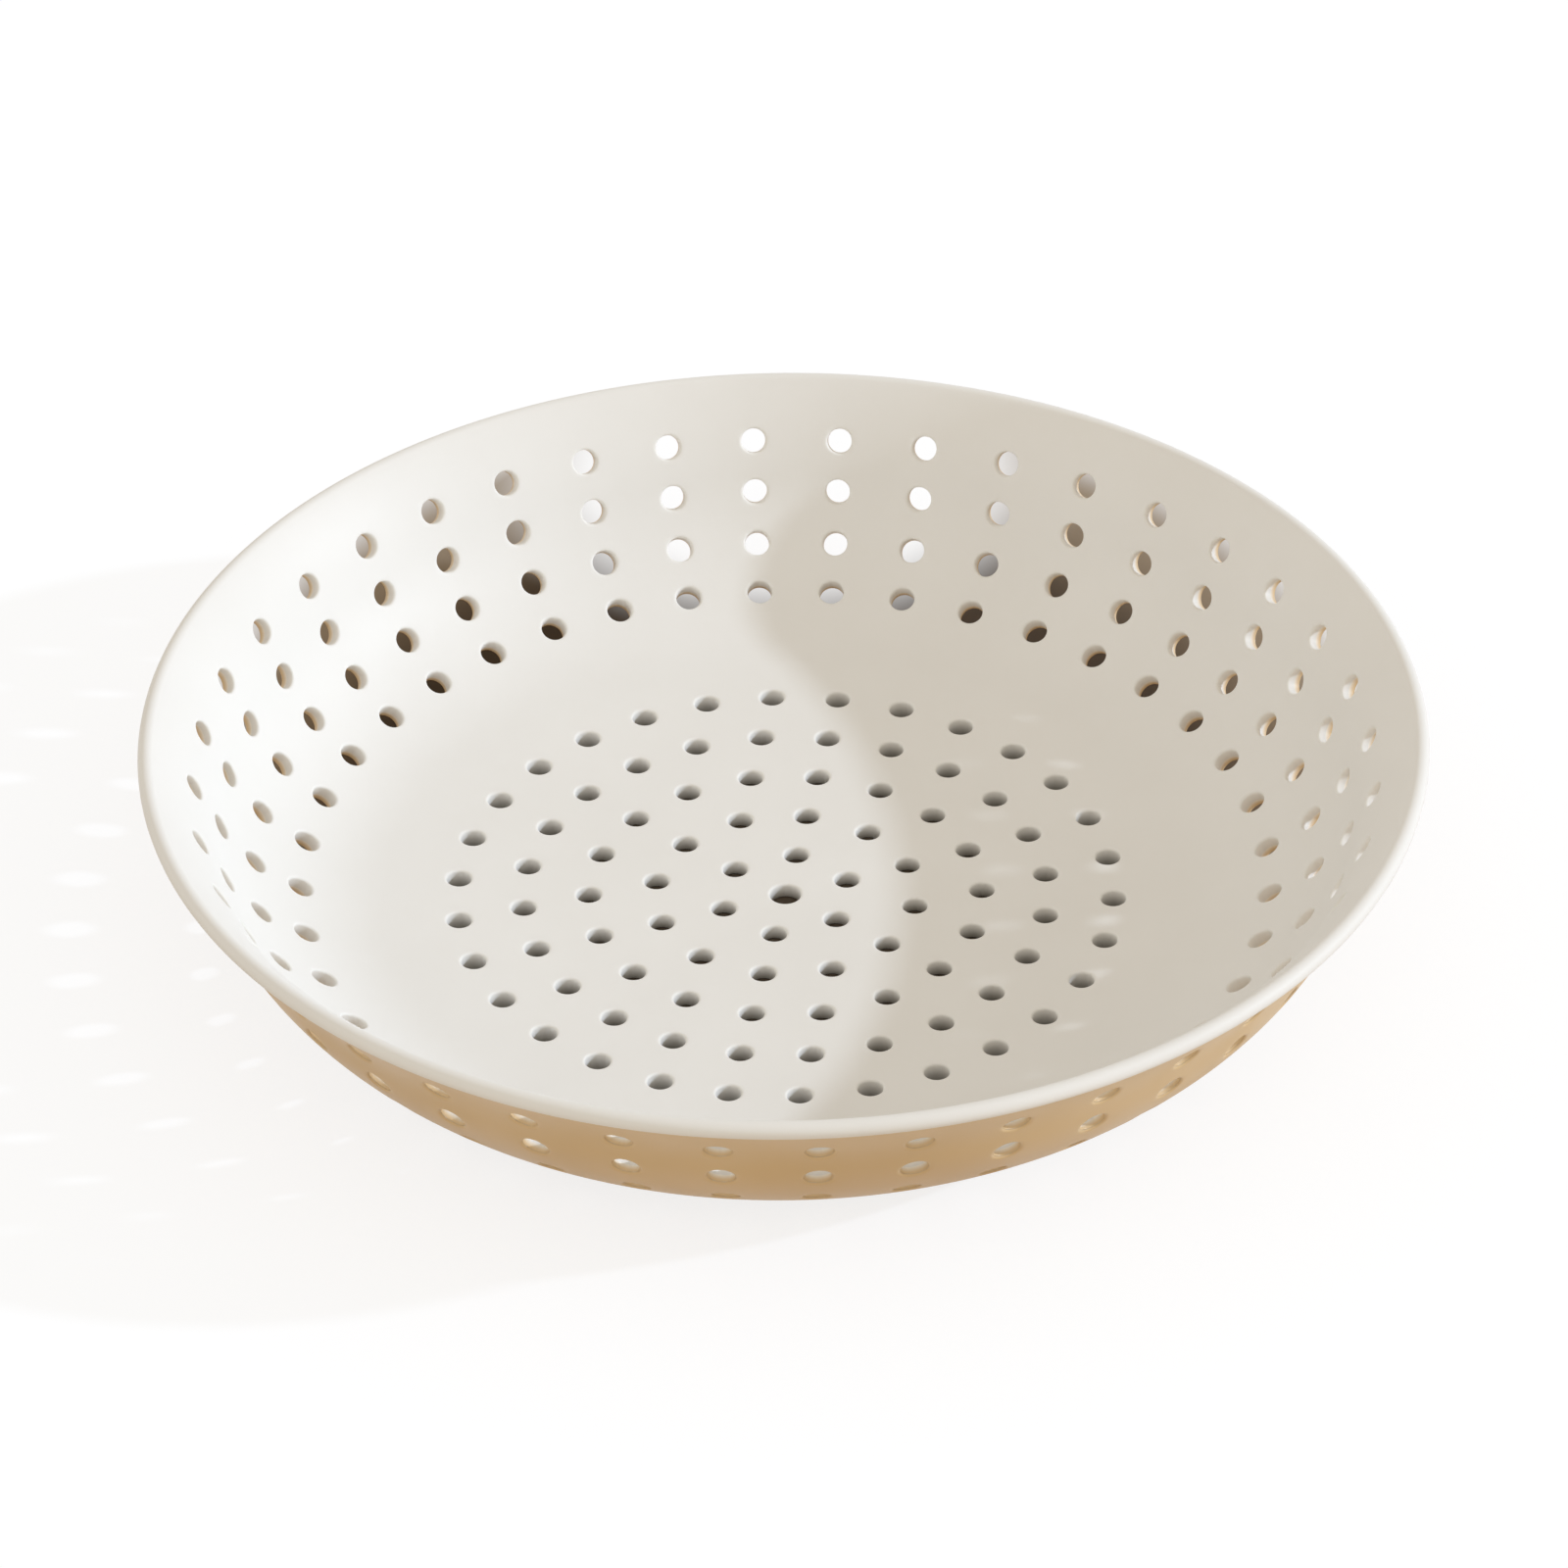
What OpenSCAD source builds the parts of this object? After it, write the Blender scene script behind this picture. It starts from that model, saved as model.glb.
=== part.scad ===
// Steamer basket: a shallow round bowl, cast in one piece and pierced all over with steam holes.
// A white coat covers the inside and the lip, a tan coat covers the outside of the wall, and the
// base is bare. Millimetres, +Z up. The origin is on the axis, in the plane of the flat base.

/* [Bowl] */
// Diameter over the lip
rim_d = 240; // [225:1:260]
// Height from the underside to the top of the lip
basket_h = 43.9; // [40:0.1:50]
// Diameter of the dished floor, up to the inside corner
floor_d = 154; // [146:1:160]
// Height of the floor's edge above its lowest part
dish_depth = 2.2; // [1:0.1:3.5]
// Diameter of the ring where the dished floor is lowest
dish_low_d = 12; // [8:1:20]
// Radius of the flare under the lip, on the inside
flare_r = 45; // [30:1:60]
// How much shorter the radius of the inside corner is than the wall's reach past the floor
corner_clearance = 9; // [6:0.5:16]
// How much longer the radius of the heel, on the outside, is than the inside corner's
heel_extra = 6; // [5:0.5:8]

/* [Thickness] */
// Thickness of the wall below the lip, and of the rounded lip
wall_t = 3.2; // [2.4:0.1:4]
// Thickness of the floor at its lowest part
floor_t = 3; // [2.4:0.1:4]
// Thickness of each coat
coat_t = 0.3; // [0.1:0.05:0.5]
// How far the white coat runs down behind the middle of the lip
lip_wrap = 0.8; // [0.2:0.1:3]
// How far the bare base reaches past its flat part, up to the edge of the tan coat
base_margin = 2; // [1:0.5:6]

/* [Floor holes] */
// Diameter of the hole in the middle of the floor
middle_hole_d = 5.9; // [4:0.1:7]
// Diameter of the other floor holes
floor_hole_d = 4.7; // [3:0.1:6]
// Number of rings of holes round the middle one
floor_rings = 5; // [1:1:5]
// Number of holes in the first ring, and of holes that each further ring has more
ring_holes = 6; // [4:1:7]
// Distance from one ring to the next
ring_step = 12.45; // [10:0.05:13.5]
// Turn of the floor's pattern about the axis, in degrees
floor_turn = 20; // [0:1:59]

/* [Wall holes] */
// Diameter of the wall holes
wall_hole_d = 4.9; // [3:0.1:6]
// Number of rows, one above the other
wall_rows = 4; // [1:1:4]
// Number of holes in each row
wall_columns = 40; // [12:1:44]
// Distance along the inside from the floor's edge to the lowest row
first_row = 15.3; // [10:0.1:18]
// Distance along the inside from one row to the next
row_step = 10.35; // [8:0.05:11]
// Turn of the wall's pattern about the axis, in degrees
wall_turn = 2.75; // [0:0.05:8.95]

/* [Hidden] */
round_fn = 240;
dish_fn = 1440;
hole_fn = 48;

// Neighbouring arcs overlap by this much, so that they cross instead of only touching
blend = 0.02;

// A profile point is [radius, height]. At a place with a given slope, a direction points through the
// wall from the inside to the outside, and the slope can be found again from that direction.
function outward(slope) = [sin(slope), -cos(slope)];
function slope_of(direction) = atan2(direction.x, -direction.y);

// Radius of the corner between floor and wall, on the inside, and of the heel below it, on the outside
corner_r = (rim_d - floor_d) / 2 - corner_clearance;
heel_r = corner_r + heel_extra;

// Inside of the floor: an arc that rises from its lowest ring to the floor's edge
dish_low_r = dish_low_d / 2;
floor_edge = [floor_d / 2, floor_t + dish_depth];
dish_r = (pow(floor_edge.x - dish_low_r, 2) + pow(dish_depth, 2)) / (2 * dish_depth);
dish_centre = [dish_low_r, floor_t + dish_r];
floor_slope = slope_of(floor_edge - dish_centre);
corner_centre = floor_edge - corner_r * outward(floor_slope);

// The flare touches the corner below and ends in the middle of the rounded lip above
lip_r = wall_t / 2 + blend;
lip_centre = [rim_d / 2 - lip_r, basket_h - lip_r];
lip_line = lip_centre - corner_centre;
flare_reach = corner_r + flare_r;
flare_end_r = flare_r - wall_t / 2;
flare_along = (lip_line * lip_line + pow(flare_reach, 2) - pow(flare_end_r, 2)) / (2 * norm(lip_line));
flare_aside = sqrt(pow(flare_reach, 2) - pow(flare_along, 2));
flare_centre = corner_centre
    + flare_along * lip_line / norm(lip_line)
    + flare_aside * [lip_line.y, -lip_line.x] / norm(lip_line);
wall_slope = slope_of(flare_centre - corner_centre);
lip_slope = slope_of(flare_centre - lip_centre);
corner_run = corner_r * (wall_slope - floor_slope) * PI / 180;

// The heel touches the plane of the base below and the outside of the flare above
heel_reach = heel_r + flare_r - wall_t;
heel_centre = [flare_centre.x - sqrt(pow(heel_reach, 2) - pow(flare_centre.y - heel_r, 2)), heel_r];

// Profiles are drawn past the lip and the centres of the arcs and then trimmed, and the hollow is drawn
// past the rest
filled_top = max(basket_h, corner_centre.y, heel_centre.y) + wall_t;
hollow_top = filled_top + wall_t;
drill_reach = 3 * wall_t;

module disc(centre, radius, fineness = round_fn) {
    translate(centre)
        circle(r = radius, $fn = fineness);
}

// The part of the profile plane above the line square to the wall, a distance below the lip's middle
module lip_side(distance) {
    translate(lip_centre)
        rotate(lip_slope)
            translate([-distance, -rim_d])
                square(2 * rim_d);
}

// The hollow of the bowl, with its surface moved outwards by a depth
module hollow_profile(depth) {
    difference() {
        union() {
            intersection() {
                disc(dish_centre, dish_r + depth, dish_fn);
                square([floor_edge.x, hollow_top]);
            }
            intersection() {
                disc(corner_centre, corner_r + depth + blend);
                square([rim_d, corner_centre.y + wall_t]);
            }
            polygon([
                [0, corner_centre.y],
                corner_centre,
                flare_centre,
                [flare_centre.x, hollow_top],
                [0, hollow_top]
            ]);
        }
        disc(flare_centre, flare_r - depth + blend);
    }
}

// The bowl filled to the brim, with its outer surface moved inwards by a depth
module filled_profile(depth) {
    difference() {
        intersection() {
            union() {
                polygon([
                    [0, 0],
                    [heel_centre.x, 0],
                    heel_centre,
                    flare_centre,
                    [flare_centre.x, filled_top],
                    [0, filled_top]
                ]);
                intersection() {
                    disc(heel_centre, heel_r - depth + blend);
                    square([rim_d, heel_centre.y + wall_t]);
                }
            }
            translate([0, depth])
                square(rim_d);
        }
        disc(flare_centre, flare_r - wall_t + depth + blend);
    }
}

// The wall with its rounded lip, thinned from both sides by a depth
module wall_profile(depth) {
    difference() {
        filled_profile(depth);
        hollow_profile(depth);
        lip_side(0);
    }
    disc(lip_centre, lip_r - depth, hole_fn);
}

// Both coats together, and the side of them that is white
module coats_profile() {
    difference() {
        wall_profile(0);
        wall_profile(coat_t);
    }
}
module white_side() {
    filled_profile(wall_t / 2);
    lip_side(lip_wrap);
}

// The part of the wall's profile under which the base is bare
module bare_base() {
    square([heel_centre.x + base_margin, floor_t / 2]);
}

// Slope and place of the inside at a distance up from the floor's edge
function run_slope(run) =
    run < corner_run
        ? floor_slope + run / corner_r * 180 / PI
        : wall_slope - (run - corner_run) / flare_r * 180 / PI;
function run_point(run) =
    run < corner_run
        ? corner_centre + corner_r * outward(run_slope(run))
        : flare_centre - flare_r * outward(run_slope(run));

// A round drill through a point of the profile, square to a slope there
module drill(diameter, point, slope, azimuth) {
    rotate(azimuth)
        translate([point.x, 0, point.y])
            rotate([0, 180 - slope, 0])
                cylinder(d = diameter, h = 2 * drill_reach, center = true, $fn = hole_fn);
}

// Every steam hole: the middle one, the rings of the floor and the rows of the wall
module steam_holes() {
    drill(middle_hole_d, [0, floor_t], 0, 0);
    for (ring = [1 : floor_rings], hole = [1 : ring * ring_holes])
        drill(floor_hole_d, [ring * ring_step, floor_t], 0, floor_turn + hole * 360 / (ring * ring_holes));
    for (row = [0 : wall_rows - 1], column = [1 : wall_columns]) {
        run = first_row + row * row_step;
        drill(wall_hole_d, run_point(run), run_slope(run), wall_turn + column * 360 / wall_columns);
    }
}

// A turned layer of the bowl with all the holes through it
module pierced_layer() {
    difference() {
        rotate_extrude($fn = round_fn)
            children();
        steam_holes();
    }
}

// The cast metal bowl, which carries both coats and stands on its bare base
module cast_bowl() {
    color("silver")
        pierced_layer() {
            wall_profile(coat_t);
            intersection() {
                wall_profile(0);
                bare_base();
            }
        }
}

// The white coat over the inside and round the lip
module white_lining() {
    color("ivory")
        pierced_layer()
            intersection() {
                coats_profile();
                white_side();
            }
}

// The tan coat outside, from the lip down over the heel to the edge of the base
module tan_coat() {
    color("tan")
        pierced_layer()
            difference() {
                coats_profile();
                white_side();
                bare_base();
            }
}

cast_bowl();
white_lining();
tan_coat();
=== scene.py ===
# %% [markdown]
# # Steamer basket
# The basket is one shallow bowl, die-cast in aluminium and drilled all over so that steam can rise
# through it. A white ceramic coat covers the inside and the lip and runs into the holes, and a tan coat
# covers the outside and runs a little way into the holes of the wall. This lesson dresses the packed
# model: it builds the three layers as clean meshes, gives each one its finish, and then sets up a floor,
# the light and a camera.
#
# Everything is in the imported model's own frame: metres, +Z up, with the origin under the middle of the
# base. The lesson works in millimetres, as a maker would, and turns them into metres when a mesh is made.

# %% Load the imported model
import math
from collections import namedtuple

import bmesh
import bpy
import numpy as np
from mathutils import Matrix, Vector


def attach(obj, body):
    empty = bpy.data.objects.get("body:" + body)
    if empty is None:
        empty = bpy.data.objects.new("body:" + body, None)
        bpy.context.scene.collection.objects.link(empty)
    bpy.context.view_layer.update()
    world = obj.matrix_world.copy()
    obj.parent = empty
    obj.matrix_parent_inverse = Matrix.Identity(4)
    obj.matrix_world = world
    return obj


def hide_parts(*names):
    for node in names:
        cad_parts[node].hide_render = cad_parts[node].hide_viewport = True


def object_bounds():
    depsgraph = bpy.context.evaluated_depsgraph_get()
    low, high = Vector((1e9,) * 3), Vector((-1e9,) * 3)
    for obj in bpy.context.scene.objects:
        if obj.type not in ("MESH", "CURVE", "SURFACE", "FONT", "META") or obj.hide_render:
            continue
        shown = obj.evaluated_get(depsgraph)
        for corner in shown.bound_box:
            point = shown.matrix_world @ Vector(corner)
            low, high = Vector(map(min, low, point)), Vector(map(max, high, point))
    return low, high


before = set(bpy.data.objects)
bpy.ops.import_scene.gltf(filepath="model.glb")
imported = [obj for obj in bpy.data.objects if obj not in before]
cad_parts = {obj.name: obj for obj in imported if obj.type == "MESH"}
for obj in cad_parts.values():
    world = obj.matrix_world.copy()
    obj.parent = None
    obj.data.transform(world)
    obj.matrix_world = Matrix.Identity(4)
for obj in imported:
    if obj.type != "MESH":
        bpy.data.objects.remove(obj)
cad_low, cad_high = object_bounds()
MM = 0.001
rim_r = cad_high.x / MM
basket_h = cad_high.z / MM
print(f"Loaded {sorted(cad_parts)}: rim radius {rim_r:.1f} mm, height {basket_h:.1f} mm")

# %% [markdown]
# ## The bowl's profile
# A turned shape is easiest to think of as a profile: a half section that is spun round the axis. Here it
# is made of arcs that touch each other: the dished floor, the inside corner, the flare and the rounded
# lip, and on the outside the flare again, the heel and the flat base. A freehand curve would do too, but
# arcs keep highlights smooth, because the slope never jumps. A point of the profile is its radius and its
# height, and slopes are measured from level.

# %% Sizes of the profile
floor_r = 77.0
floor_t = 3.0
dish_depth = 2.2
dish_low_r = 6.0
corner_r = 34.0
flare_r = 45.0
heel_r = 40.0
wall_t = 3.2
lip_r = wall_t / 2
print(f"A floor of radius {floor_r} mm, and a wall {wall_t} mm thick")

# %% Directions on the profile


def up_along(slope):
    return np.array([math.cos(slope), math.sin(slope)])


def outward(slope):
    return np.array([math.sin(slope), -math.cos(slope)])


def slope_of(direction):
    return math.atan2(direction[0], -direction[1])


print(f"Outward from a level floor is {outward(0)}, straight down")

# %% Dish and corner
floor_edge = np.array([floor_r, floor_t + dish_depth])
dish_r = ((floor_r - dish_low_r) ** 2 + dish_depth**2) / (2 * dish_depth)
dish_centre = np.array([dish_low_r, floor_t + dish_r])
floor_slope = slope_of(floor_edge - dish_centre)
corner_centre = floor_edge - corner_r * outward(floor_slope)
print(f"The floor is dished to a radius of {dish_r:.0f} mm")

# %% Flare and lip
lip_centre = np.array([rim_r - lip_r, basket_h - lip_r])
lip_line = lip_centre - corner_centre
lip_distance = np.linalg.norm(lip_line)
lip_direction = lip_line / lip_distance
flare_reach = corner_r + flare_r
flare_along = (lip_distance**2 + flare_reach**2 - (flare_r - lip_r) ** 2) / (2 * lip_distance)
flare_aside = math.sqrt(flare_reach**2 - flare_along**2)
flare_centre = (
    corner_centre
    + flare_along * lip_direction
    + flare_aside * np.array([lip_direction[1], -lip_direction[0]])
)
wall_slope = slope_of(flare_centre - corner_centre)
lip_slope = slope_of(flare_centre - lip_centre)
corner_run = corner_r * (wall_slope - floor_slope)
lip_run = corner_run + flare_r * (wall_slope - lip_slope)
steepest, flattest = math.degrees(wall_slope), math.degrees(lip_slope)
print(f"The wall rises at {steepest:.1f} degrees, and at {flattest:.1f} under the lip")

# %% Heel
heel_reach = heel_r + flare_r - wall_t
heel_across = math.sqrt(heel_reach**2 - (flare_centre[1] - heel_r) ** 2)
heel_centre = np.array([flare_centre[0] - heel_across, heel_r])
print(f"The base is flat out to a radius of {heel_centre[0]:.1f} mm")

# %% [markdown]
# ## Depth under a surface
# Each coat follows a side of the bowl at a steady depth, and each hole's edge is rounded over. Both need
# to know how deep a point lies under the inside or the outside. A ray cast onto a mesh could measure it,
# but with arcs it is one subtraction: the distance from the arc's centre less its radius. The lines
# between neighbouring centres say which arc a point belongs to.

# %% Depth from the inside and from the outside


def beside(points, start, end):
    """Negative on the right of the line from start to end, and positive on its left."""
    line = end - start
    return line[0] * (points[..., 1] - start[1]) - line[1] * (points[..., 0] - start[0])


def distance(points, centre):
    return np.linalg.norm(points - centre, axis=-1)


def inside(points):
    """How deep points of the profile lie under the inside."""
    floor = distance(points, dish_centre) - dish_r
    corner = distance(points, corner_centre) - corner_r
    flare = flare_r - distance(points, flare_centre)
    wall = np.where(beside(points, corner_centre, flare_centre) < 0, corner, flare)
    return np.where(beside(points, corner_centre, floor_edge) < 0, floor, wall)


def outside(points):
    """How deep points of the profile lie under the outside."""
    base = points[..., 1]
    heel = heel_r - distance(points, heel_centre)
    flare = distance(points, flare_centre) - (flare_r - wall_t)
    wall = np.where(beside(points, heel_centre, flare_centre) < 0, heel, flare)
    return np.where(points[..., 0] < heel_centre[0], base, wall)


print(f"The floor's edge lies {outside(floor_edge):.2f} mm above the outside")

# %% Slide points to a depth
SINK_ROUNDS = 20


def sink(points, axes, side, depth):
    """Slides points along their axes, which point outwards, until they lie at a depth under one side."""
    way = 1 if side is inside else -1
    for _ in range(SINK_ROUNDS):
        profile = np.stack([np.hypot(points[..., 0], points[..., 1]), points[..., 2]], axis=-1)
        points = points + (way * (depth - side(profile)))[..., None] * axes
    return points


half_way = np.array([[floor_r / 2, 0.0, 0.0]])
down = np.array([[0.0, 0.0, -1.0]])
floor_here = sink(half_way, down, inside, 0)[0, 2] - sink(half_way, down, outside, 0)[0, 2]
print(f"The floor is {floor_here:.2f} mm thick half-way out")

# %% [markdown]
# ## Steam holes
# The floor has a hole in the middle and five rings round it, each with six holes more than the one
# before. The wall has four rows of forty, drilled square to the surface. A cut made with a boolean would
# leave long thin triangles that shade badly, so the mesh is laid out as cells instead: each hole sits in
# a four-sided cell, and rings of quads run from the cell's edge in to the round hole. The counts are
# chosen so that the cells of one ring share every point with the cells of the next.

# %% The pattern of the holes
middle_hole_r = 5.9 / 2
floor_hole_r = 4.7 / 2
wall_hole_r = 4.9 / 2
floor_rings = 5
ring_holes = 6
ring_step = 12.45
floor_turn = math.radians(20)
wall_rows = 4
wall_columns = 40
first_row = 15.3
row_step = 10.35
wall_turn = math.radians(2.75)

floor_reach = (floor_rings + 0.5) * ring_step - floor_r
wall_start = first_row - row_step / 2
wall_end = wall_start + wall_rows * row_step
print(f"Rows of holes from {wall_start:.1f} to {wall_end:.1f} mm up the wall, the lip at {lip_run:.1f} mm")

# %% Stations on the inside


def slope_at(run):
    """Slope of the inside, a distance up the wall from the floor's edge."""
    if run < corner_run:
        return floor_slope + run / corner_r
    return wall_slope - (run - corner_run) / flare_r


def point_at(run):
    """Point of the inside at that distance. A negative one lies on the floor."""
    if run < 0:
        radius = floor_r + run
        return np.array([radius, dish_centre[1] - math.sqrt(dish_r**2 - (radius - dish_low_r) ** 2)])
    if run < corner_run:
        return corner_centre + corner_r * outward(slope_at(run))
    return flare_centre - flare_r * outward(slope_at(run))


def through_slope(run):
    """Slope that a line through the bowl is square to: level on the floor, the wall's own in the rows."""
    share = np.clip((run - floor_reach) / (wall_start - floor_reach), 0, 1)
    return share * slope_at(max(run, wall_start))


def station(run, azimuth):
    """A point of the inside and the direction through the bowl there."""
    radius, height = point_at(run)
    away, drop = outward(through_slope(run))
    turn = np.array([math.cos(azimuth), math.sin(azimuth)])
    return np.array([*(radius * turn), height]), np.array([*(away * turn), drop])


print(f"The lowest row of holes is {point_at(first_row)[1]:.1f} mm above the base")

# %% [markdown]
# ## Cells
# A cell is built once for each ring and row, at azimuth zero, and then spun to every place where it
# repeats. Its rings are a recipe: which side of the bowl they follow, how deep, how much wider than the
# hole, and how far they have opened from the round hole towards the cell's own outline. Modelling each
# layer by hand would repeat the same work, and here one recipe idea makes all three.

# %% Outline of a cell
Ring = namedtuple("Ring", "side depth grow open edge bore", defaults=(0, 0))


def shares(count):
    return np.arange(count) / count


def cell_outline(low, high, half_angle, counts):
    """Points and directions round a cell, from its lower left corner: low side, right, high side, left."""
    low_count, side_count, high_count = counts
    up = low + (high - low) * shares(side_count)
    runs = [np.full(low_count, low), up, np.full(high_count, high), low + high - up]
    across = half_angle * (2 * shares(low_count) - 1)
    back = half_angle * (1 - 2 * shares(high_count))
    azimuths = [across, np.full(side_count, half_angle), back, np.full(side_count, -half_angle)]
    places = zip(np.concatenate(runs), np.concatenate(azimuths))
    points, axes = zip(*(station(run, azimuth) for run, azimuth in places))
    return np.array(points), np.array(axes)


print(f"Each ring of a cell says {', '.join(Ring._fields)}")

# %% Rings of a cell


def cell_rings(centre, slope, outline, low_count, hole_r, recipe):
    """The rings of one cell, as an array of ring, point and coordinate."""
    points, axes = outline
    across = np.array([0.0, 1.0, 0.0])
    up = np.array([math.cos(slope), 0.0, math.sin(slope)])
    axis = np.array([math.sin(slope), 0.0, -math.cos(slope)])
    step = math.tau / len(points)
    angles = -math.pi / 2 + step * (np.arange(len(points)) - low_count / 2)
    rings = []
    for ring in recipe:
        edge = sink(points, axes, ring.side, ring.depth) - centre
        round_part = (1 - ring.open) * (hole_r + ring.grow)
        rise = round_part * np.sin(angles) + ring.open * (edge @ up)
        aside = round_part * np.cos(angles) + ring.open * (edge @ across)
        flat = centre + rise[:, None] * up + aside[:, None] * across
        rings.append(sink(flat, np.broadcast_to(axis, flat.shape), ring.side, ring.depth))
    return np.array(rings)


def spun(rings, azimuth):
    cos, sin = math.cos(azimuth), math.sin(azimuth)
    turn = np.array([[cos, sin, 0.0], [-sin, cos, 0.0], [0.0, 0.0, 1.0]])
    return rings @ turn


# %% Cells of the floor
middle_points = 24
# Points up each side of a cell, by ring, so that every hole has 24 to 28 points.
ring_side_points = {1: 8, 2: 8, 3: 6, 4: 5, 5: 4}


def middle_cell(recipe):
    """The round cell about the hole in the middle."""
    run = ring_step / 2 - floor_r
    edge = [station(run, math.pi * (1 - 2 * share)) for share in shares(middle_points)]
    outline = [np.array(part) for part in zip(*edge)]
    centre = np.array([0.0, 0.0, floor_t])
    return spun(cell_rings(centre, 0, outline, 0, middle_hole_r, recipe), floor_turn)


def ring_cells(ring, recipe):
    """The cells of one ring. Their low sides share the points of the ring before."""
    low_count = 2 * (ring - 1) if ring > 1 else middle_points // ring_holes
    counts = (low_count, ring_side_points[ring], 2 * (ring + 1))
    low = (ring - 0.5) * ring_step - floor_r
    half_angle = math.pi / (ring_holes * ring)
    outline = cell_outline(low, low + ring_step, half_angle, counts)
    centre = station(low + ring_step / 2, 0)[0]
    rings = cell_rings(centre, 0, outline, low_count, floor_hole_r, recipe)
    return [spun(rings, floor_turn + 2 * half_angle * hole) for hole in range(ring_holes * ring)]


def floor_cells(recipe):
    """Every cell of the floor, as its rings and the recipe that made them."""
    cells = [middle_cell(recipe)]
    for ring in range(1, floor_rings + 1):
        cells += ring_cells(ring, recipe)
    return [(rings, recipe) for rings in cells]


floor_holes = 1 + sum(ring_holes * ring for ring in range(1, floor_rings + 1))
print(f"{floor_holes} cells on the floor")

# %% Cells of the wall
around = 360
around_step = math.tau / around
column_points = around // wall_columns
row_points = 5


def wall_cells(recipe):
    """Every cell of the wall, as its rings and the recipe that made them."""
    half_angle = math.pi / wall_columns
    counts = (column_points, row_points, column_points)
    cells = []
    for row in range(wall_rows):
        run = first_row + row * row_step
        outline = cell_outline(run - row_step / 2, run + row_step / 2, half_angle, counts)
        centre = station(run, 0)[0]
        rings = cell_rings(centre, slope_at(run), outline, column_points, wall_hole_r, recipe)
        cells += [spun(rings, wall_turn + 2 * half_angle * column) for column in range(wall_columns)]
    return [(rings, recipe) for rings in cells]


print(f"{wall_rows * wall_columns} cells on the wall")

# %% [markdown]
# ## Bands
# Between the floor's outer ring and the wall's lowest row there are no holes, and none above the top row.
# These stretches are plain bands: a few profile points, each spun into a ring of points, as a screw
# modifier would do. Doing it here keeps the points where the cells have theirs. The floor's grid and the
# wall's grid are turned a fraction of a degree against each other, so the lower band twists by that much
# on its way up.

# %% Where the bands lie
BAND_RINGS = 10
TOP_RINGS = 6
LIP_RINGS = 15
floor_first = floor_turn + math.pi / (ring_holes * floor_rings)
wall_first = wall_turn + math.pi / wall_columns
half_step = around_step / 2
band_twist = (wall_first - floor_first + half_step) % around_step - half_step
band_runs = np.linspace(floor_reach, wall_start, BAND_RINGS)
top_runs = np.linspace(wall_end, lip_run, TOP_RINGS)
# The lip's first and last ring are the wall's own, so they are left out here.
lip_angles = np.radians(np.linspace(-90, 90, LIP_RINGS))[1:-1]
print(f"The lower band twists by {math.degrees(band_twist):.2f} degrees")

# %% Turned bands
PLAIN = Ring(None, 0, 0, 0)


def section(runs, side, depths):
    """Profile points at the given runs, at a depth under one side: radius, height and twist."""
    points, axes = zip(*(station(run, 0) for run in runs))
    radii, _, heights = sink(np.array(points), np.array(axes), side, depths).T
    share = (np.array(runs) - floor_reach) / (wall_start - floor_reach)
    return np.stack([radii, heights, band_twist * np.clip(share, 0, 1)], axis=-1)


def lip_section(angles, depth):
    """Profile points round the lip, from the inside at -90 degrees to the outside at +90."""
    ahead = np.outer(np.cos(angles), up_along(lip_slope))
    aside = np.outer(np.sin(angles), outward(lip_slope))
    round_lip = lip_centre + (lip_r - depth) * (ahead + aside)
    return np.column_stack([round_lip, np.full(len(angles), band_twist)])


def band(*sections):
    """Profile points that are each spun into a ring, with a recipe that has no marks."""
    radii, heights, twists = np.concatenate(sections).T[:, :, None]
    azimuths = floor_first + twists + around_step * np.arange(around)
    heights = np.broadcast_to(heights, azimuths.shape)
    rings = np.stack([radii * np.cos(azimuths), radii * np.sin(azimuths), heights], axis=-1)
    return rings, [PLAIN] * len(rings)


print(f"The lip reaches up to {lip_section(lip_angles, 0)[:, 1].max():.2f} mm")

# %% [markdown]
# ## From rings to a mesh
# Every cell and band is a stack of rings, and neighbouring rings are joined by quads. Cells that meet
# have made the same points twice, so the points are welded afterwards, which is simpler than keeping
# count of shared ones. Two numbers are stored on the points for the finish to use: how close a point is
# to a hole's rounded edge, where the colour is lightened partly as a painted highlight, and how far it lies
# down the wall of a hole, where the white is darkened as painted shade and the tan turns pale.

# %% Weld points and smooth faces
WELD = 0.001 * MM
SHARP = math.radians(50)


def weld(mesh):
    """Welds shared points, turns faces outwards and smooths all but sharp edges. Counts open edges."""
    shape = bmesh.new()
    shape.from_mesh(mesh)
    bmesh.ops.remove_doubles(shape, verts=shape.verts, dist=WELD)
    bmesh.ops.recalc_face_normals(shape, faces=shape.faces)
    for face in shape.faces:
        face.smooth = True
    for line in shape.edges:
        line.smooth = line.calc_face_angle(0) < SHARP
    open_edges = sum(not line.is_manifold for line in shape.edges)
    shape.to_mesh(mesh)
    shape.free()
    return open_edges


sharp_degrees = math.degrees(SHARP)
print(f"Points within {WELD / MM:.3f} mm are welded, and edges over {sharp_degrees:.0f} degrees stay sharp")

# %% Make a piece of cells and bands
MARKS = ("hole_edge", "hole_wall")


def quads_between(rings, first):
    """The quads that join neighbouring rings, by the numbers of their points, counted from a first one."""
    ring_count, point_count, _ = rings.shape
    index = first + np.arange(ring_count * point_count).reshape(ring_count, point_count)
    after = np.roll(index, -1, axis=1)
    return np.stack([index[:-1], after[:-1], after[1:], index[1:]], axis=-1).reshape(-1, 4)


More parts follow.
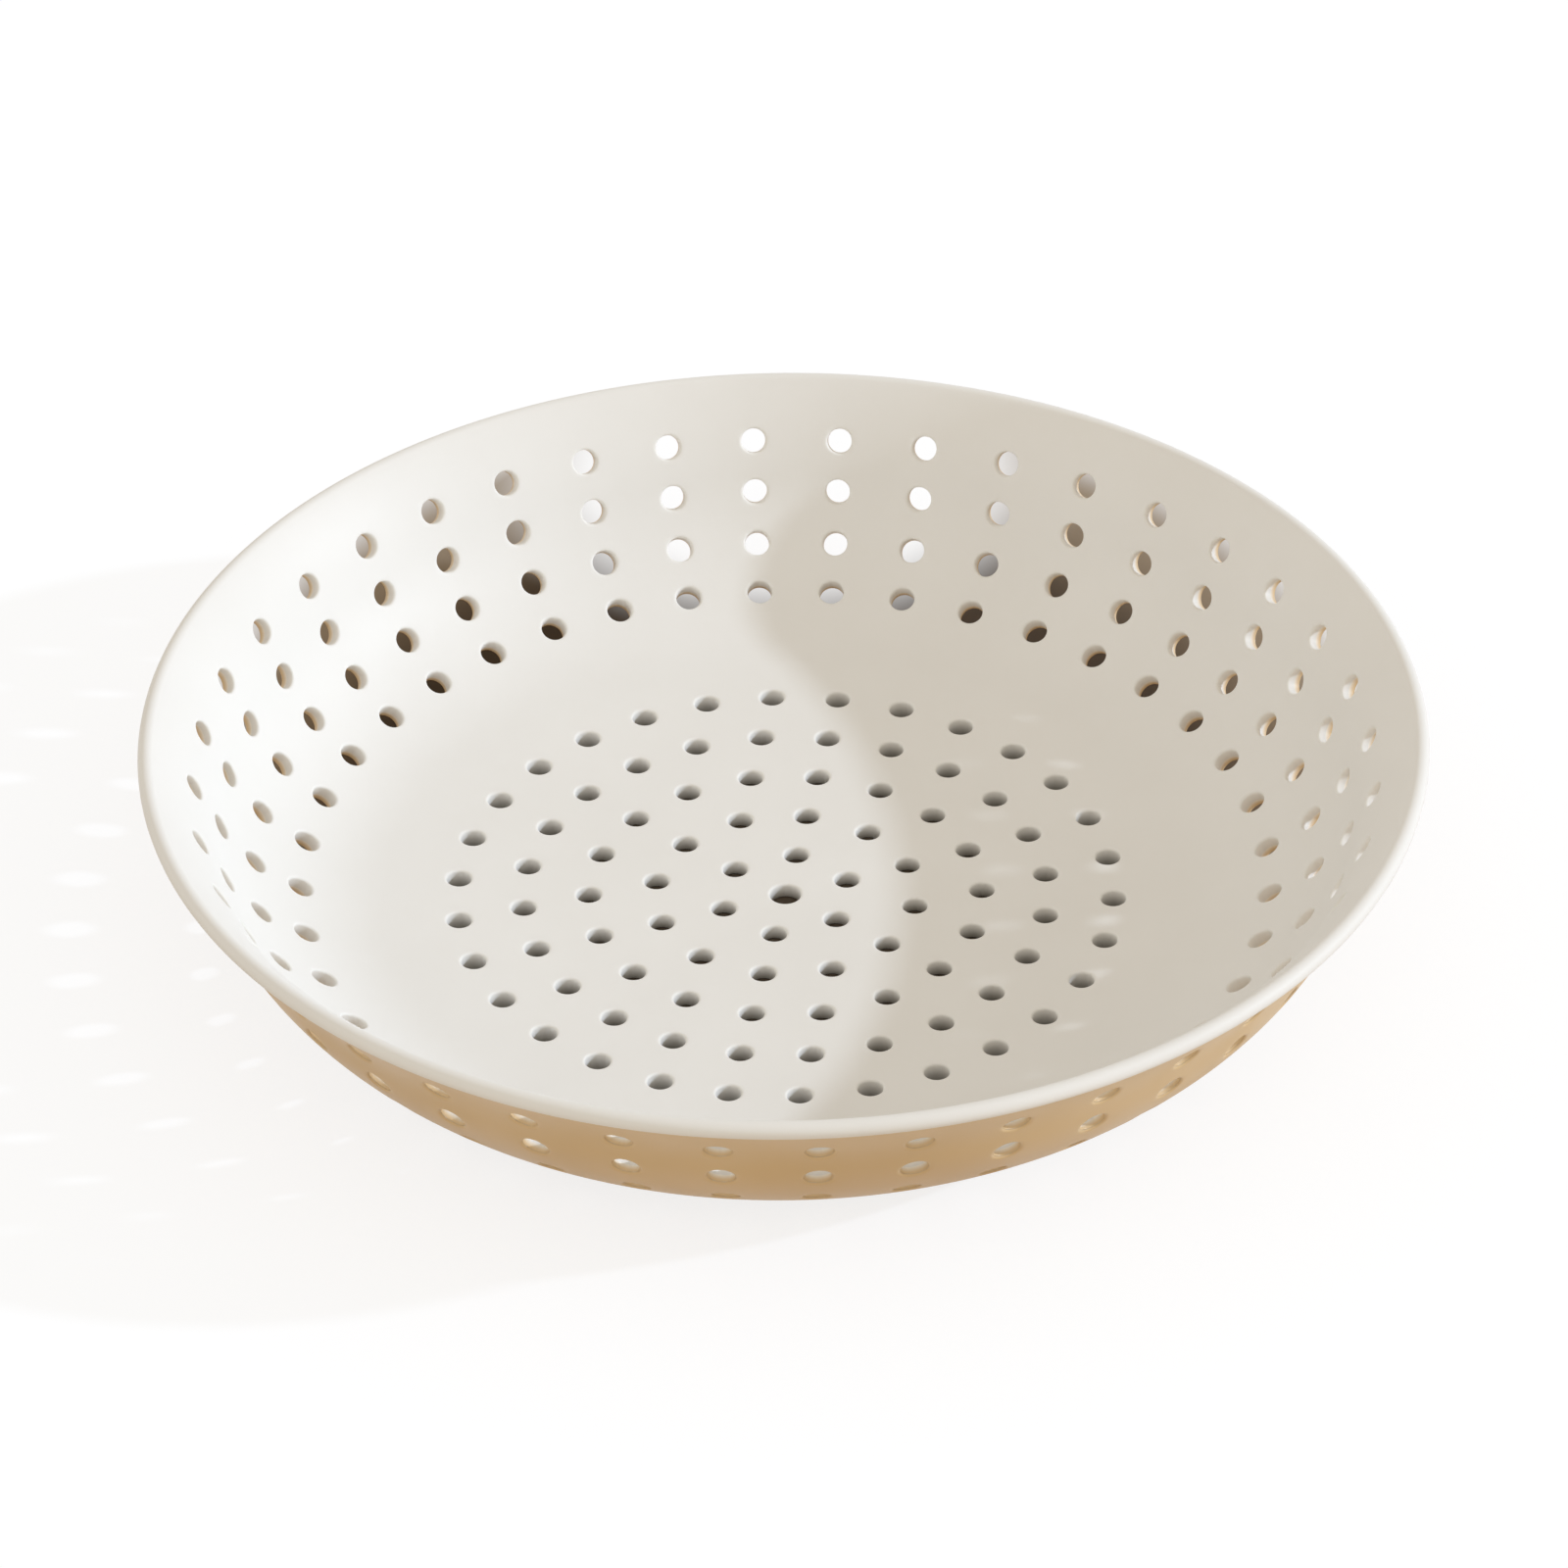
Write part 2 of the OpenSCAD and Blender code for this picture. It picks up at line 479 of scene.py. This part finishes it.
def piece(name, stacks):
    """A closed mesh of cells and bands, with their recipes' marks on its points."""
    corners, quads, marks = [], [], []
    first = 0
    for rings, recipe in stacks:
        ring_count, point_count, _ = rings.shape
        quads.append(quads_between(rings, first))
        corners.append(rings.reshape(-1, 3))
        marks.append(np.repeat([[ring.edge, ring.bore] for ring in recipe], point_count, axis=0))
        first += ring_count * point_count
    mesh = bpy.data.meshes.new(name)
    mesh.from_pydata(np.concatenate(corners) * MM, [], np.concatenate(quads).tolist())
    for label, values in zip(MARKS, np.concatenate(marks).T.astype(np.float32)):
        stored = mesh.attributes.new(label, "FLOAT", "POINT")
        stored.data.foreach_set("value", np.ascontiguousarray(values))
    open_edges = weld(mesh)
    made = bpy.data.objects.new(name, mesh)
    bpy.context.scene.collection.objects.link(made)
    print(f"{name}: {len(mesh.vertices)} points, {len(mesh.polygons)} faces, {open_edges} open edges")
    return made


print(f"Marks on the points: {', '.join(MARKS)}")

# %% [markdown]
# ## The white lining
# On the real basket the white coat is sprayed over the whole inside and wraps over the lip. It also runs
# into the holes, and in the wall it ends where the tan coat, sprayed in from outside, begins. Down each
# hole its colour is darkened towards the bottom as painted shade, strongly in the floor's holes and a
# little in the wall's. Coats soften every edge: the rim of each hole is a small round, and that round is
# what catches the light in a bright ring. It is modelled, because bump shading can't change an outline.
# The back of the coat, which lies on the metal, is never seen, so it has only every third ring of the lip
# and the corner.

# %% Coats and their edges
coat_t = 0.3
hole_coat_t = 0.1
inner_round = 0.5
outer_round = 0.7
base_round = 0.15
ROUND_RINGS = 5
round_turns = np.radians(np.linspace(0, 90, ROUND_RINGS))
# How far each ring has opened from the round hole to the cell's outline.
open_shares = (1, 0.62, 0.32, 0.1)


def open_face(side, radius):
    """Rings from a cell's outline in to where the hole's edge starts to round over."""
    return [Ring(side, 0, radius, share) for share in open_shares]


def rounded_edge(side, radius):
    """Rings over the edge of a hole, from the face into the hole."""
    return [
        Ring(side, radius * (1 - math.cos(turn)), radius * (1 - math.sin(turn)), 0, math.sin(turn))
        for turn in round_turns
    ]


print(f"Coats {coat_t} mm thick, {hole_coat_t} mm in the holes")

# %% The lining of a hole and of the lip
# How strongly painted shade darkens the walls of the white's holes towards their bottom: fully in the
# floor, a little in the wall.
FLOOR_HOLE_SHADE = 1.0
WALL_HOLE_SHADE = 0.15
HIDDEN_STEP = 3
tan_reach = 1.6
lip_wrap = 0.8
seam_round = 0.12
seam_run = lip_run - lip_wrap * flare_r / (flare_r - wall_t)
seam_depths = seam_round * (1 - np.cos(round_turns))
seam_offsets = seam_round * (1 - np.sin(round_turns))


def lining_recipe(end, hole_shade):
    """The lining of a hole, which ends above the outside, and how strongly painted shade darkens its wall
    there.
    """
    return [
        *open_face(inside, inner_round),
        *rounded_edge(inside, inner_round),
        Ring(outside, end, 0, 0, 0, hole_shade),
        Ring(outside, end, hole_coat_t, 0, 0, hole_shade),
        Ring(inside, coat_t, hole_coat_t, 0),
        Ring(inside, coat_t, hole_coat_t, 1),
    ]


lining_lip = band(
    section(top_runs, inside, 0),
    lip_section(lip_angles, 0),
    section([lip_run], outside, 0),
    section(seam_run + seam_offsets, outside, seam_depths),
    section([seam_run, lip_run], outside, coat_t),
    lip_section(lip_angles[::-HIDDEN_STEP], coat_t),
    section(top_runs[::-1], inside, coat_t),
)
print(f"The lining goes over the lip in {len(lining_lip[0])} rings, to {lip_wrap} mm below it")

# %% White lining
lining_corner = band(section(band_runs, inside, 0))
lining_corner_back = band(section(band_runs[::HIDDEN_STEP], inside, coat_t))
white_lining = piece(
    "white_lining_skin",
    [
        *floor_cells(lining_recipe(base_round, FLOOR_HOLE_SHADE)),
        lining_corner,
        lining_corner_back,
        *wall_cells(lining_recipe(tan_reach, WALL_HOLE_SHADE)),
        lining_lip,
    ],
)
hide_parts("white_lining")
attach(white_lining, "root")

# %% [markdown]
# ## The tan coat
# The outside is coated on its own, from a line just under the lip down to the edge of the base. The spray
# also reaches a little way into each hole, where it thins to a pale tone. A copy of the lining pushed
# outwards would have its edges in the wrong places, so the lining's recipe is turned round instead: it
# starts on the outside and goes over the edge into the hole. Both ends of the coat are rounded a little,
# as a masked edge is.

# %% Where the tan coat ends
HEEL_RINGS = 9
HEEL_TRIES = 400
base_margin = 2.0
bare_r = heel_centre[0] + base_margin
heel_tries = np.linspace(floor_reach, wall_start, HEEL_TRIES)
bare_run = np.interp(bare_r, section(heel_tries, outside, 0)[:, 0], heel_tries)
heel_runs = np.linspace(bare_run, wall_start, HEEL_RINGS)
print(f"The tan coat ends at a radius of {bare_r:.1f} mm")

# %% Tan coat
tan_recipe = [
    *open_face(outside, outer_round),
    *rounded_edge(outside, outer_round),
    Ring(outside, tan_reach, 0, 0, 0, 1),
    Ring(outside, tan_reach, hole_coat_t, 0, 0, 1),
    Ring(outside, coat_t, hole_coat_t, 0),
    Ring(outside, coat_t, hole_coat_t, 1),
]
tan_heel = band(
    section(heel_runs[:0:-1], outside, 0),
    section(bare_run + seam_offsets, outside, seam_depths),
    section(heel_runs, outside, coat_t),
)
tan_top = band(
    section(np.linspace(wall_end, seam_run - 2 * seam_round, TOP_RINGS), outside, 0),
    section(seam_run - seam_offsets, outside, seam_depths),
    section(np.linspace(seam_run, wall_end, TOP_RINGS), outside, coat_t),
)
tan_coat = piece("tan_coat_skin", [tan_heel, *wall_cells(tan_recipe), tan_top])
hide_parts("tan_coat")
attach(tan_coat, "root")

# %% [markdown]
# ## The cast bowl
# Under the coats is the casting itself. Only its base shows, which is turned flat and left bare so that
# the basket stands steadily. The rest is a plain closed mesh that fits between the coats. It could be left
# out, but a whole casting keeps the layers true when the part is cut open or seen through a hole.

# %% Cast bowl
BASE_RINGS = 4
base_runs = np.linspace(floor_reach, bare_run, BASE_RINGS)
core_start = [
    Ring(inside, coat_t, hole_coat_t, 1),
    Ring(inside, coat_t, hole_coat_t, 0),
]
base_recipe = [
    *core_start,
    Ring(outside, base_round, hole_coat_t, 0),
    *reversed(rounded_edge(outside, base_round)),
    *reversed(open_face(outside, base_round)),
]
core_recipe = [
    *core_start,
    Ring(outside, coat_t, hole_coat_t, 0),
    Ring(outside, coat_t, hole_coat_t, 1),
]
core_corner = band(section(band_runs, inside, coat_t))
core_heel = band(section(base_runs, outside, 0), section(heel_runs, outside, coat_t))
core_lip = band(
    section(top_runs, inside, coat_t),
    lip_section(lip_angles, coat_t),
    section(top_runs[::-1], outside, coat_t),
)
cast_bowl = piece(
    "cast_bowl_core",
    [*floor_cells(base_recipe), core_corner, core_heel, *wall_cells(core_recipe), core_lip],
)
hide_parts("cast_bowl")
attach(cast_bowl, "root")

# %% [markdown]
# ## Ceramic finishes
# A sprayed ceramic coat is smooth but never flat: it has a faint orange peel about a millimetre across, and
# a colour that drifts a little from place to place. Over the rounded edges of the holes the colour is
# lighter, partly as a thinner coat and partly as a painted highlight. A painted image could hold all that,
# but noise at three scales needs no unwrapping and stays sharp close up. The marks on the points say where
# the edges and the hole walls are; down the white's holes the colour turns to a painted shade.

# %% Start a finish


def new_finish(name):
    """A material with its node tree and its main shader."""
    material = bpy.data.materials.new(name)
    material.use_nodes = True
    tree = material.node_tree
    return material, tree, tree.nodes["Principled BSDF"]


def noise(tree, scale, detail):
    """Noise in the object's own space. The scale is in features per metre."""
    place = tree.nodes.new("ShaderNodeTexCoord")
    texture = tree.nodes.new("ShaderNodeTexNoise")
    texture.inputs["Scale"].default_value = scale
    texture.inputs["Detail"].default_value = detail
    tree.links.new(place.outputs["Object"], texture.inputs["Vector"])
    return texture.outputs["Fac"]


def mark(tree, name):
    """A number stored on the mesh's points."""
    attribute = tree.nodes.new("ShaderNodeAttribute")
    attribute.attribute_name = name
    return attribute.outputs["Fac"]


# %% Spread, tint and bumps
NOISE_LOW, NOISE_HIGH = 0.3, 0.7
# The mix node has sockets for each kind of value. These are the ones for colours.
MIX_COLOURS = (6, 7)
MIX_RESULT = 2


def spread(tree, value, low, high, start=NOISE_LOW, end=NOISE_HIGH):
    """Maps a value from start..end to low..high. Noise seldom leaves the range set here."""
    node = tree.nodes.new("ShaderNodeMapRange")
    for socket, number in zip(("From Min", "From Max", "To Min", "To Max"), (start, end, low, high)):
        node.inputs[socket].default_value = number
    tree.links.new(value, node.inputs["Value"])
    return node.outputs["Result"]


def tint(tree, share, first, second):
    """A colour between two, by a share. Either may be a colour or another node's output."""
    node = tree.nodes.new("ShaderNodeMix")
    node.data_type = "RGBA"
    tree.links.new(share, node.inputs["Factor"])
    for number, colour in zip(MIX_COLOURS, (first, second)):
        if isinstance(colour, tuple):
            node.inputs[number].default_value = (*colour, 1)
        else:
            tree.links.new(colour, node.inputs[number])
    return node.outputs[MIX_RESULT]


def bumps(tree, surface, height, depth_mm):
    """Bump shading of a given depth."""
    node = tree.nodes.new("ShaderNodeBump")
    node.inputs["Strength"].default_value = 1
    node.inputs["Distance"].default_value = depth_mm * MM
    tree.links.new(height, node.inputs["Height"])
    tree.links.new(node.outputs["Normal"], surface.inputs["Normal"])


print(f"Noise from {NOISE_LOW} to {NOISE_HIGH} is spread over the range asked for")

# %% White and tan ceramic
COLOUR_CLOUDS = {"scale": 28, "detail": 3}
SATIN_CLOUDS = {"scale": 60, "detail": 4}
ORANGE_PEEL = {"scale": 800, "detail": 3}
PEEL_DEPTH = 0.012
# Over rounded hole edges the colour is lighter: partly a thinner coat, partly a painted highlight.
EDGE_THIN_AND_HIGHLIGHT = 0.6
SATIN_DRIFT = 0.05
COAT_SHINE = 0.22


def ceramic(name, colour, drift, thin_and_highlight, hole, satin):
    """A sprayed ceramic coat: its colour, where that drifts to, its lighter colour on hole edges, partly a
    painted highlight, and its colour in holes.
    """
    material, tree, surface = new_finish(name)
    cloudy = tint(tree, spread(tree, noise(tree, **COLOUR_CLOUDS), 0, 1), colour, drift)
    edge_thin_and_highlight = spread(tree, mark(tree, "hole_edge"), 0, EDGE_THIN_AND_HIGHLIGHT, 0, 1)
    whole = tint(tree, mark(tree, "hole_wall"), tint(tree, edge_thin_and_highlight, cloudy, thin_and_highlight), hole)
    tree.links.new(whole, surface.inputs["Base Color"])
    rough = spread(tree, noise(tree, **SATIN_CLOUDS), satin - SATIN_DRIFT, satin + SATIN_DRIFT)
    tree.links.new(rough, surface.inputs["Roughness"])
    surface.inputs["Specular IOR Level"].default_value = COAT_SHINE
    bumps(tree, surface, noise(tree, **ORANGE_PEEL), PEEL_DEPTH)
    return material


white = ceramic(
    "white_ceramic_coat",
    colour=(0.87, 0.865, 0.85),
    drift=(0.845, 0.838, 0.82),
    thin_and_highlight=(0.89, 0.88, 0.85),
    # Painted shade: the grey that the walls of the white's holes darken to towards their bottom.
    hole=(0.36, 0.345, 0.315),
    satin=0.5,
)
tan = ceramic(
    "tan_ceramic_coat",
    colour=(0.71, 0.525, 0.29),
    drift=(0.67, 0.487, 0.264),
    thin_and_highlight=(0.76, 0.59, 0.38),
    hole=(0.88, 0.845, 0.78),
    satin=0.4,
)
print(f"Two coats: {white.name} and {tan.name}")

# %% [markdown]
# ## Bare metal
# The base is faced on a lathe, which leaves fine rings about the axis, and handling dulls it in clouds.
# Rings cut into the mesh would need a great many faces for a hundredth of a millimetre, so they are a
# wave texture that drives both the colour and a bump.

# %% Turned aluminium
# At a scale of 1 the wave texture turns by 20 radians in a metre.
WAVE_TURN = 20
TURNING_STEP = 0.6
TURNING_DEPTH = 0.01
TURNING_WOBBLE = 0.6
TURNING_DETAIL = 2
METAL_COLOUR = (0.60, 0.60, 0.61)
DULL_COLOUR = (0.50, 0.50, 0.51)
CREST_COLOUR = (0.70, 0.70, 0.70)
CREST_SHARE = 0.5
DULL_CLOUDS = {"scale": 70, "detail": 4}
METAL_GRAIN = {"scale": 300, "detail": 4}
METAL_ROUGHNESS = (0.3, 0.44)


def turning_marks(tree):
    """Fine rings about the axis, as a lathe tool leaves them, a step apart."""
    place = tree.nodes.new("ShaderNodeTexCoord")
    rings = tree.nodes.new("ShaderNodeTexWave")
    rings.wave_type = "RINGS"
    rings.rings_direction = "Z"
    rings.inputs["Scale"].default_value = math.tau / (WAVE_TURN * TURNING_STEP * MM)
    rings.inputs["Distortion"].default_value = TURNING_WOBBLE
    rings.inputs["Detail"].default_value = TURNING_DETAIL
    tree.links.new(place.outputs["Object"], rings.inputs["Vector"])
    return rings.outputs["Fac"]


def turned_metal():
    """Bare aluminium: turned in fine rings, a little brighter on their crests, and dulled in clouds."""
    material, tree, surface = new_finish("turned_aluminium")
    marks = turning_marks(tree)
    clouded = tint(tree, spread(tree, noise(tree, **DULL_CLOUDS), 0, 1), METAL_COLOUR, DULL_COLOUR)
    ringed = tint(tree, spread(tree, marks, 0, CREST_SHARE, 0, 1), clouded, CREST_COLOUR)
    tree.links.new(ringed, surface.inputs["Base Color"])
    rough = spread(tree, noise(tree, **METAL_GRAIN), *METAL_ROUGHNESS)
    tree.links.new(rough, surface.inputs["Roughness"])
    surface.inputs["Metallic"].default_value = 1
    bumps(tree, surface, marks, TURNING_DEPTH)
    return material


metal = turned_metal()
print(f"{metal.name} has rings {TURNING_STEP} mm apart")

# %% Finish each layer
for layer, finish in ((white_lining, white), (tan_coat, tan), (cast_bowl, metal)):
    layer.data.materials.append(finish)
    print(f"{layer.name} is finished in {finish.name}")

# %% [markdown]
# ## Floor
# The basket stands on a plain floor that looks white. Lamps strong enough to make it white would burn out
# the basket, so the floor gets a glow instead, which only the camera and mirrors see. Under and behind the
# basket a soft shadow is painted into the floor: the glow fades out there and the floor's colour turns dark
# brown, so that the ground that shows through the holes looks dark. In the middle at the back the painted
# shadow stays open. Light that bounces sees another floor: a warm table near the basket, with painted shade
# under the base, which warms the outside, and a paler one further off.

# %% Colours and places on the floor
FLOOR_SIZE = 6.0
FLOOR_MIDDLE = (0, 0)
FLOOR_COLOUR = (0.24, 0.25, 0.27)
FLOOR_GLOW = 0.80
TABLE_COLOUR = (0.66, 0.52, 0.36)
FAR_COLOUR = (0.80, 0.78, 0.74)
FAR_RADII = (130, 260)
# A shadow is painted on the floor: a dark shade near the base that turns to a lighter brown further out,
# with no glow until its rim, and a gap left open in the middle at the back. The same dark shade is painted
# under the base for light that bounces.
SHADE_COLOUR = (0.10, 0.08, 0.062)
PAINTED_SHADOW_COLOUR = (0.36, 0.295, 0.225)
PAINTED_SHADOW_TONE_MIDDLE = (0, 44)
PAINTED_SHADOW_TONE_RADII = (76, 112)
PAINTED_SHADOW_MIDDLE = (0, 57)
PAINTED_SHADOW_RADII = (102, 122)
SHADOW_GAP_MIDDLE = (0, 150)
SHADOW_GAP_RADII = (66, 34)
print(f"The floor's shadow fades out between {PAINTED_SHADOW_RADII[0]} and {PAINTED_SHADOW_RADII[1]} mm from its own middle")

# %% What the camera sees, and what bounced light sees


def largest(tree, *values):
    """The largest of several values."""
    so_far = values[0]
    for value in values[1:]:
        node = tree.nodes.new("ShaderNodeMath")
        node.operation = "MAXIMUM"
        tree.links.new(so_far, node.inputs[0])
        tree.links.new(value, node.inputs[1])
        so_far = node.outputs[0]
    return so_far


def by_ray(tree, bounced, seen):
    """One shader for light that bounces, and one for the camera and what mirrors and glass pass on."""
    path = tree.nodes.new("ShaderNodeLightPath")
    rays = ("Is Camera Ray", "Is Glossy Ray", "Is Transmission Ray")
    pick = tree.nodes.new("ShaderNodeMixShader")
    tree.links.new(largest(tree, *(path.outputs[ray] for ray in rays)), pick.inputs["Fac"])
    tree.links.new(bounced.outputs[0], pick.inputs[1])
    tree.links.new(seen.outputs[0], pick.inputs[2])
    return pick.outputs[0]


# %% The floor's finish


def floor_ramp(tree, middle, radii):
    """A soft ring on the floor about a point: 0 at its first radius and 1 at its second, in millimetres."""
    place = tree.nodes.new("ShaderNodeTexCoord")
    away = tree.nodes.new("ShaderNodeVectorMath")
    away.operation = "DISTANCE"
    away.inputs[1].default_value = (middle[0] * MM, middle[1] * MM, 0)
    tree.links.new(place.outputs["Object"], away.inputs[0])
    ramp = spread(tree, away.outputs["Value"], 0, 1, radii[0] * MM, radii[1] * MM)
    ramp.node.interpolation_type = "SMOOTHSTEP"
    return ramp


def seen_floor(tree):
    """A pale floor that glows white, except in a soft shadow painted under and behind the basket."""
    # The painted shadow: where the glow fades out, and its dark colours.
    unshadowed_floor = floor_ramp(tree, PAINTED_SHADOW_MIDDLE, PAINTED_SHADOW_RADII)
    bright = largest(tree, unshadowed_floor, floor_ramp(tree, SHADOW_GAP_MIDDLE, SHADOW_GAP_RADII))
    shadow = tint(tree, floor_ramp(tree, PAINTED_SHADOW_TONE_MIDDLE, PAINTED_SHADOW_TONE_RADII), SHADE_COLOUR, PAINTED_SHADOW_COLOUR)
    pale = tree.nodes.new("ShaderNodeBsdfDiffuse")
    tree.links.new(tint(tree, bright, shadow, FLOOR_COLOUR), pale.inputs["Color"])
    glow = tree.nodes.new("ShaderNodeEmission")
    tree.links.new(spread(tree, bright, 0, FLOOR_GLOW, 0, 1), glow.inputs["Strength"])
    both = tree.nodes.new("ShaderNodeAddShader")
    tree.links.new(pale.outputs[0], both.inputs[0])
    tree.links.new(glow.outputs[0], both.inputs[1])
    return both


def bounce_floor(tree):
    """A warm table, with painted shade under the base, and paler further off."""
    # Painted shade: the table turns dark under the base, where the basket keeps the light off.
    under = floor_ramp(tree, FLOOR_MIDDLE, (bare_r, bare_r + base_margin))
    near = tint(tree, under, SHADE_COLOUR, TABLE_COLOUR)
    table = tree.nodes.new("ShaderNodeBsdfDiffuse")
    colour = tint(tree, floor_ramp(tree, FLOOR_MIDDLE, FAR_RADII), near, FAR_COLOUR)
    tree.links.new(colour, table.inputs["Color"])
    return table


def floor_finish():
    """White with a shadow for the camera, and a warm table for the light that bounces."""
    material = bpy.data.materials.new("studio_floor")
    material.use_nodes = True
    tree = material.node_tree
    tree.nodes.clear()
    output = tree.nodes.new("ShaderNodeOutputMaterial")
    tree.links.new(by_ray(tree, bounce_floor(tree), seen_floor(tree)), output.inputs["Surface"])
    return material


white_floor = floor_finish()
print(f"{white_floor.name} is white to the camera, and a warm table to light that bounces")

# %% Floor
half = FLOOR_SIZE / 2
floor_mesh = bpy.data.meshes.new("studio_floor")
floor_corners = [(-half, -half, 0), (half, -half, 0), (half, half, 0), (-half, half, 0)]
floor_mesh.from_pydata(floor_corners, [], [(0, 1, 2, 3)])
studio_floor = bpy.data.objects.new("studio_floor", floor_mesh)
studio_floor.data.materials.append(white_floor)
bpy.context.scene.collection.objects.link(studio_floor)
print(f"A floor of {FLOOR_SIZE:.0f} m")

# %% [markdown]
# ## Light
# The main light comes from the right, low enough that the lip throws a shadow across the inside. An area
# lamp could be used, but a sun lamp's rays are parallel, so the shadow keeps its shape. A slightly warm
# sky fills the rest, brighter at the front and a little to the left than at the back. The camera sees a
# white backdrop in its place.

# %% Sky
SKY_COLOUR = (1.0, 0.92, 0.80)
SKY_STRENGTHS = (0.60, 0.82)
SKY_BRIGHT_SIDE = (-0.35, -0.94, 0)
BACKDROP_COLOUR = (1, 1, 1)

world = bpy.data.worlds.new("studio_sky")
bpy.context.scene.world = world
world.use_nodes = True
sky = world.node_tree
sky.nodes.clear()
direction = sky.nodes.new("ShaderNodeTexCoord")
towards = sky.nodes.new("ShaderNodeVectorMath")
towards.operation = "DOT_PRODUCT"
towards.inputs[1].default_value = SKY_BRIGHT_SIDE
sky.links.new(direction.outputs["Generated"], towards.inputs[0])
fill = sky.nodes.new("ShaderNodeBackground")
fill.inputs["Color"].default_value = (*SKY_COLOUR, 1)
sky.links.new(spread(sky, towards.outputs["Value"], *SKY_STRENGTHS, -1, 1), fill.inputs["Strength"])
backdrop = sky.nodes.new("ShaderNodeBackground")
backdrop.inputs["Color"].default_value = (*BACKDROP_COLOUR, 1)
backdrop.inputs["Strength"].default_value = 1
sky_output = sky.nodes.new("ShaderNodeOutputWorld")
sky.links.new(by_ray(sky, fill, backdrop), sky_output.inputs["Surface"])
print(f"A sky of strength {SKY_STRENGTHS[0]} to {SKY_STRENGTHS[1]}")

# %% Main light
KEY_ELEVATION = math.radians(22.9)
KEY_AZIMUTH = math.radians(-0.4)
KEY_STRENGTH = 1.8
KEY_COLOUR = (0.76, 0.86, 1.0)
KEY_WIDTH = math.radians(2.1)

key_data = bpy.data.lights.new("key_light", "SUN")
key_data.energy = KEY_STRENGTH
key_data.color = KEY_COLOUR
key_data.angle = KEY_WIDTH
key_light = bpy.data.objects.new("key_light", key_data)
towards_key = Vector((
    math.cos(KEY_ELEVATION) * math.cos(KEY_AZIMUTH),
    math.cos(KEY_ELEVATION) * math.sin(KEY_AZIMUTH),
    math.sin(KEY_ELEVATION),
))
key_light.rotation_euler = towards_key.to_track_quat("Z", "Y").to_euler()
bpy.context.scene.collection.objects.link(key_light)
print(f"The main light stands {math.degrees(KEY_ELEVATION):.0f} degrees up on the right")

# %% [markdown]
# ## Camera
# The camera's place was worked out from the rim's outline and the holes' centres in the photograph: it
# looks down at about 37 degrees from 1.23 m with a long lens, aimed a little above the middle of the floor
# and rolled by less than a degree. A track-to constraint can't roll, so the camera's axes are set directly.

# %% Camera
CAMERA_DISTANCE = 1.2292
CAMERA_ELEVATION = math.radians(37.335)
CAMERA_LENS = 148.59
CAMERA_AIM_UP = 0.01693
CAMERA_ROLL = math.radians(-0.704)

floor_middle = Vector((0, 0, floor_t * MM))
back = Vector((0, -math.cos(CAMERA_ELEVATION), math.sin(CAMERA_ELEVATION)))
square_up = Vector((1, 0, 0)).cross(-back)
ahead = (-back + CAMERA_AIM_UP * square_up).normalized()
right = ahead.cross(Vector((0, 0, 1))).normalized()
above = right.cross(ahead)
rolled_right = right * math.cos(CAMERA_ROLL) + above * math.sin(CAMERA_ROLL)
rolled_up = above * math.cos(CAMERA_ROLL) - right * math.sin(CAMERA_ROLL)
camera_data = bpy.data.cameras.new("camera")
camera_data.lens = CAMERA_LENS
camera = bpy.data.objects.new("camera", camera_data)
turn = Matrix((rolled_right, rolled_up, -ahead)).transposed()
camera.matrix_world = Matrix.Translation(floor_middle + back * CAMERA_DISTANCE) @ turn.to_4x4()
bpy.context.scene.collection.objects.link(camera)
bpy.context.scene.camera = camera
bpy.context.scene.view_settings.view_transform = "Standard"
print(f"Camera at {tuple(round(value, 3) for value in camera.location)}")
